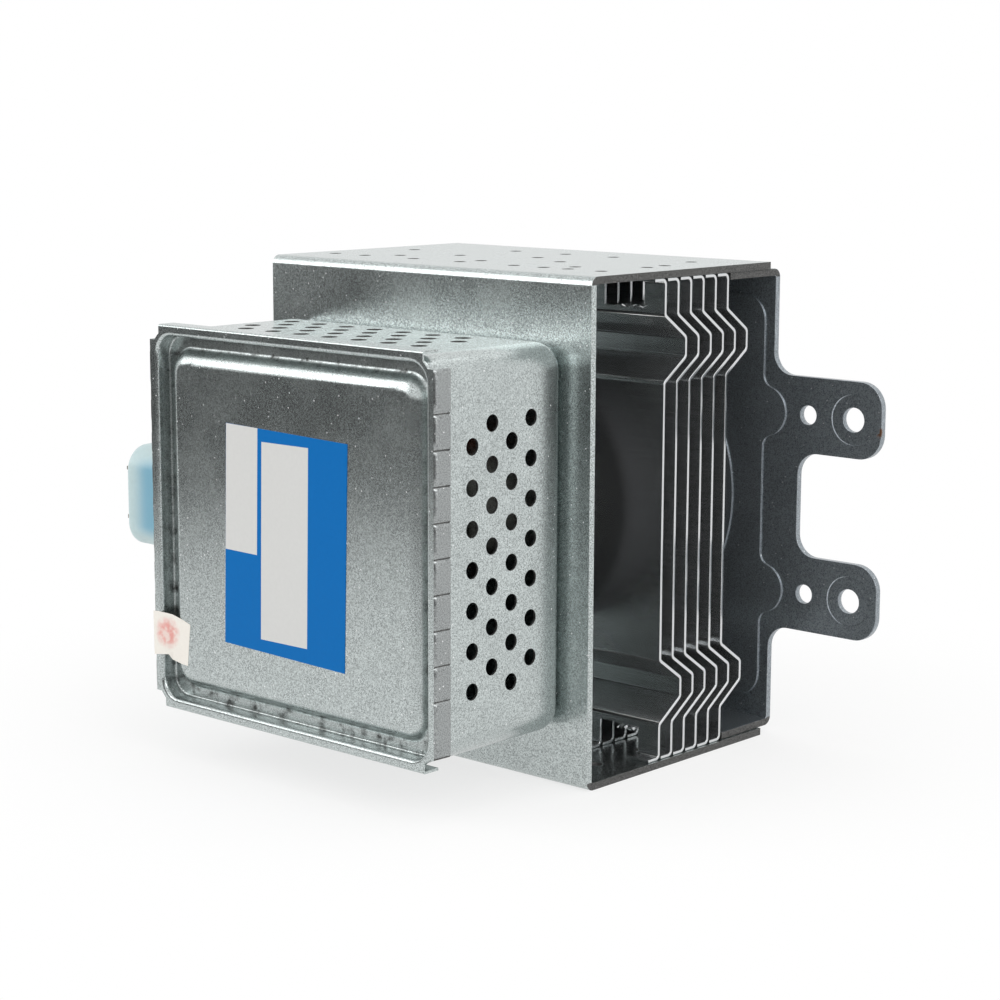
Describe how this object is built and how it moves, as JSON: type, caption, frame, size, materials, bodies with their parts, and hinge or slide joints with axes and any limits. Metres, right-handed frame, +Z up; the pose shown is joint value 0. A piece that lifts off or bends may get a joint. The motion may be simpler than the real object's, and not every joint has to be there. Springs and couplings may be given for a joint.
{
  "type": "oven magnetron",
  "caption": "Microwave-oven magnetron: ring magnets and a finned anode in a folded steel yoke, with a crimped filter box and an eared mounting plate.",
  "frame": {"origin": "middle of the mounting face, on the antenna's axis", "axes": "+Y out of the mounting face along the antenna, +Z up across the yoke's height, +X to the side with the vents in the filter box"},
  "size_m": [0.133, 0.1239, 0.095],
  "materials": {
    "galvanised_steel": "galvanised sheet, mottled grey",
    "plate_steel": "dark galvanised sheet",
    "fin_aluminium": "bright rolled sheet",
    "magnet_ferrite": "sintered ferrite, dull black",
    "copper": "brazed copper",
    "plated_metal": "plated, satin",
    "alumina": "pale alumina",
    "refractory_metal": "dark refractory metal",
    "mesh_steel": "knitted wire",
    "insulator_plastic": "pale moulded plastic",
    "enamelled_copper": "enamelled wire"
  },
  "bodies": {
    "root": {"yoke_frame": "galvanised_steel", "mounting_plate": "plate_steel", "front_magnet": "magnet_ferrite", "rear_magnet": "magnet_ferrite", "anode_cylinder": "copper", "anode_vanes": "copper", "inner_straps": "copper", "outer_straps": "copper", "input_pole_piece": "galvanised_steel", "output_pole_piece": "galvanised_steel", "input_seal_cup": "plated_metal", "output_seal_cup": "plated_metal", "cathode_filament": "refractory_metal", "upper_end_hat": "refractory_metal", "lower_end_hat": "refractory_metal", "centre_rod": "refractory_metal", "side_rod": "refractory_metal", "stem_ceramic": "alumina", "upper_stem_pin": "plated_metal", "lower_stem_pin": "plated_metal", "output_ceramic": "alumina", "exhaust_tube": "copper", "antenna_lead": "copper", "antenna_cap": "plated_metal", "mesh_gasket": "mesh_steel", "filter_box": "galvanised_steel", "filter_lid": "galvanised_steel", "capacitor_insulator": "insulator_plastic", "capacitor_flange": "plated_metal", "capacitor_rivets": "plated_metal", "upper_supply_tab": "plated_metal", "lower_supply_tab": "plated_metal", "upper_choke_coil": "enamelled_copper", "lower_choke_coil": "enamelled_copper", "upper_choke_core": "magnet_ferrite", "lower_choke_core": "magnet_ferrite", "cooling_fin_1": "fin_aluminium", "cooling_fin_2": "fin_aluminium", "cooling_fin_3": "fin_aluminium", "cooling_fin_4": "fin_aluminium", "cooling_fin_5": "fin_aluminium", "cooling_fin_6": "fin_aluminium"}
  },
  "joints": []
}
